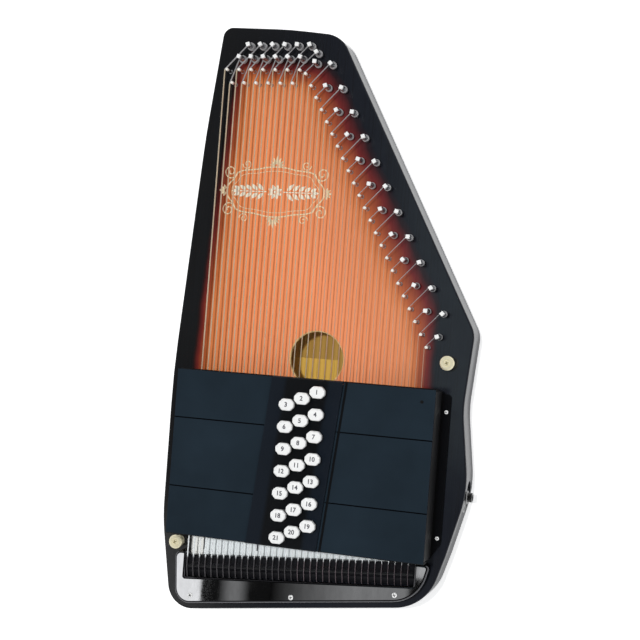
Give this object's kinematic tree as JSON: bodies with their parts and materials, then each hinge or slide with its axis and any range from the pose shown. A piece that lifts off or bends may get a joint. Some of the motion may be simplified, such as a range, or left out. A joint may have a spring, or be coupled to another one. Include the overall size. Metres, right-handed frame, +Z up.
{
  "type": "electric autoharp",
  "caption": "Flat wooden box zither with steel strings over a sunburst top, sprung felted chord bars under black covers with white push buttons, and a side output jack.",
  "frame": {"origin": "under the middle of the bounding box, on the plane of the flat back", "axes": "+X across the strings from the lowest to the highest, towards the output jack; +Y along the strings towards the tuning pins; +Z up out of the soundboard"},
  "size_m": [0.3088, 0.5834, 0.0823],
  "materials": {
    "spruce_top": "gloss sunburst lacquer, orange to black at the edges",
    "lacquered_wood": "gloss black lacquer",
    "maple_block": "gloss black lacquer outside, with nickelled steel tuning pins",
    "black_plastic": "fine-textured black",
    "bar_plastic": "satin dark bar with a grey felt strip",
    "button_plastic": "gloss white with small dark numbers",
    "string_steel": "bright steel, wound in the bass",
    "chromed_steel": "polished chrome",
    "pickup_case": "black case",
    "brass_fitting": "polished",
    "jack_metal": "polished nickel"
  },
  "bodies": {
    "body": {"soundboard": "spruce_top", "back_plate": "lacquered_wood", "pin_block": "maple_block", "bass_rail": "lacquered_wood", "treble_rail": "lacquered_wood", "end_block": "lacquered_wood", "bridge_rail": "black_plastic", "string_set": "string_steel", "anchor_cover": "chromed_steel", "pickup": "pickup_case", "chord_bar_holder_bass": "black_plastic", "chord_bar_holder_treble": "black_plastic", "cover_bass": "black_plastic", "cover_treble": "black_plastic", "centre_panel": "black_plastic", "strap_button_upper": "brass_fitting", "strap_button_lower": "brass_fitting", "output_jack": "jack_metal"},
    "bar_01": {"chord_bar_01": "bar_plastic", "chord_button_01": "button_plastic"},
    "bar_02": {"chord_bar_02": "bar_plastic", "chord_button_02": "button_plastic"},
    "bar_03": {"chord_bar_03": "bar_plastic", "chord_button_03": "button_plastic"},
    "bar_04": {"chord_bar_04": "bar_plastic", "chord_button_04": "button_plastic"},
    "bar_05": {"chord_bar_05": "bar_plastic", "chord_button_05": "button_plastic"},
    "bar_06": {"chord_bar_06": "bar_plastic", "chord_button_06": "button_plastic"},
    "bar_07": {"chord_bar_07": "bar_plastic", "chord_button_07": "button_plastic"},
    "bar_08": {"chord_bar_08": "bar_plastic", "chord_button_08": "button_plastic"},
    "bar_09": {"chord_bar_09": "bar_plastic", "chord_button_09": "button_plastic"},
    "bar_10": {"chord_bar_10": "bar_plastic", "chord_button_10": "button_plastic"},
    "bar_11": {"chord_bar_11": "bar_plastic", "chord_button_11": "button_plastic"},
    "bar_12": {"chord_bar_12": "bar_plastic", "chord_button_12": "button_plastic"},
    "bar_13": {"chord_bar_13": "bar_plastic", "chord_button_13": "button_plastic"},
    "bar_14": {"chord_bar_14": "bar_plastic", "chord_button_14": "button_plastic"},
    "bar_15": {"chord_bar_15": "bar_plastic", "chord_button_15": "button_plastic"},
    "bar_16": {"chord_bar_16": "bar_plastic", "chord_button_16": "button_plastic"},
    "bar_17": {"chord_bar_17": "bar_plastic", "chord_button_17": "button_plastic"},
    "bar_18": {"chord_bar_18": "bar_plastic", "chord_button_18": "button_plastic"},
    "bar_19": {"chord_bar_19": "bar_plastic", "chord_button_19": "button_plastic"},
    "bar_20": {"chord_bar_20": "bar_plastic", "chord_button_20": "button_plastic"},
    "bar_21": {"chord_bar_21": "bar_plastic", "chord_button_21": "button_plastic"}
  },
  "joints": [
    {"name": "bar_01_press", "type": "slide", "parent": "body", "child": "bar_01", "axis": [0, 0, -1], "range_m": [0, 0.004], "stiffness_N_per_m": 250, "springref_m": -0.0035},
    {"name": "bar_02_press", "type": "slide", "parent": "body", "child": "bar_02", "axis": [0, 0, -1], "range_m": [0, 0.004], "stiffness_N_per_m": 250, "springref_m": -0.0035},
    {"name": "bar_03_press", "type": "slide", "parent": "body", "child": "bar_03", "axis": [0, 0, -1], "range_m": [0, 0.004], "stiffness_N_per_m": 250, "springref_m": -0.0035},
    {"name": "bar_04_press", "type": "slide", "parent": "body", "child": "bar_04", "axis": [0, 0, -1], "range_m": [0, 0.004], "stiffness_N_per_m": 250, "springref_m": -0.0035},
    {"name": "bar_05_press", "type": "slide", "parent": "body", "child": "bar_05", "axis": [0, 0, -1], "range_m": [0, 0.004], "stiffness_N_per_m": 250, "springref_m": -0.0035},
    {"name": "bar_06_press", "type": "slide", "parent": "body", "child": "bar_06", "axis": [0, 0, -1], "range_m": [0, 0.004], "stiffness_N_per_m": 250, "springref_m": -0.0035},
    {"name": "bar_07_press", "type": "slide", "parent": "body", "child": "bar_07", "axis": [0, 0, -1], "range_m": [0, 0.004], "stiffness_N_per_m": 250, "springref_m": -0.0035},
    {"name": "bar_08_press", "type": "slide", "parent": "body", "child": "bar_08", "axis": [0, 0, -1], "range_m": [0, 0.004], "stiffness_N_per_m": 250, "springref_m": -0.0035},
    {"name": "bar_09_press", "type": "slide", "parent": "body", "child": "bar_09", "axis": [0, 0, -1], "range_m": [0, 0.004], "stiffness_N_per_m": 250, "springref_m": -0.0035},
    {"name": "bar_10_press", "type": "slide", "parent": "body", "child": "bar_10", "axis": [0, 0, -1], "range_m": [0, 0.004], "stiffness_N_per_m": 250, "springref_m": -0.0035},
    {"name": "bar_11_press", "type": "slide", "parent": "body", "child": "bar_11", "axis": [0, 0, -1], "range_m": [0, 0.004], "stiffness_N_per_m": 250, "springref_m": -0.0035},
    {"name": "bar_12_press", "type": "slide", "parent": "body", "child": "bar_12", "axis": [0, 0, -1], "range_m": [0, 0.004], "stiffness_N_per_m": 250, "springref_m": -0.0035},
    {"name": "bar_13_press", "type": "slide", "parent": "body", "child": "bar_13", "axis": [0, 0, -1], "range_m": [0, 0.004], "stiffness_N_per_m": 250, "springref_m": -0.0035},
    {"name": "bar_14_press", "type": "slide", "parent": "body", "child": "bar_14", "axis": [0, 0, -1], "range_m": [0, 0.004], "stiffness_N_per_m": 250, "springref_m": -0.0035},
    {"name": "bar_15_press", "type": "slide", "parent": "body", "child": "bar_15", "axis": [0, 0, -1], "range_m": [0, 0.004], "stiffness_N_per_m": 250, "springref_m": -0.0035},
    {"name": "bar_16_press", "type": "slide", "parent": "body", "child": "bar_16", "axis": [0, 0, -1], "range_m": [0, 0.004], "stiffness_N_per_m": 250, "springref_m": -0.0035},
    {"name": "bar_17_press", "type": "slide", "parent": "body", "child": "bar_17", "axis": [0, 0, -1], "range_m": [0, 0.004], "stiffness_N_per_m": 250, "springref_m": -0.0035},
    {"name": "bar_18_press", "type": "slide", "parent": "body", "child": "bar_18", "axis": [0, 0, -1], "range_m": [0, 0.004], "stiffness_N_per_m": 250, "springref_m": -0.0035},
    {"name": "bar_19_press", "type": "slide", "parent": "body", "child": "bar_19", "axis": [0, 0, -1], "range_m": [0, 0.004], "stiffness_N_per_m": 250, "springref_m": -0.0035},
    {"name": "bar_20_press", "type": "slide", "parent": "body", "child": "bar_20", "axis": [0, 0, -1], "range_m": [0, 0.004], "stiffness_N_per_m": 250, "springref_m": -0.0035},
    {"name": "bar_21_press", "type": "slide", "parent": "body", "child": "bar_21", "axis": [0, 0, -1], "range_m": [0, 0.004], "stiffness_N_per_m": 250, "springref_m": -0.0035}
  ]
}
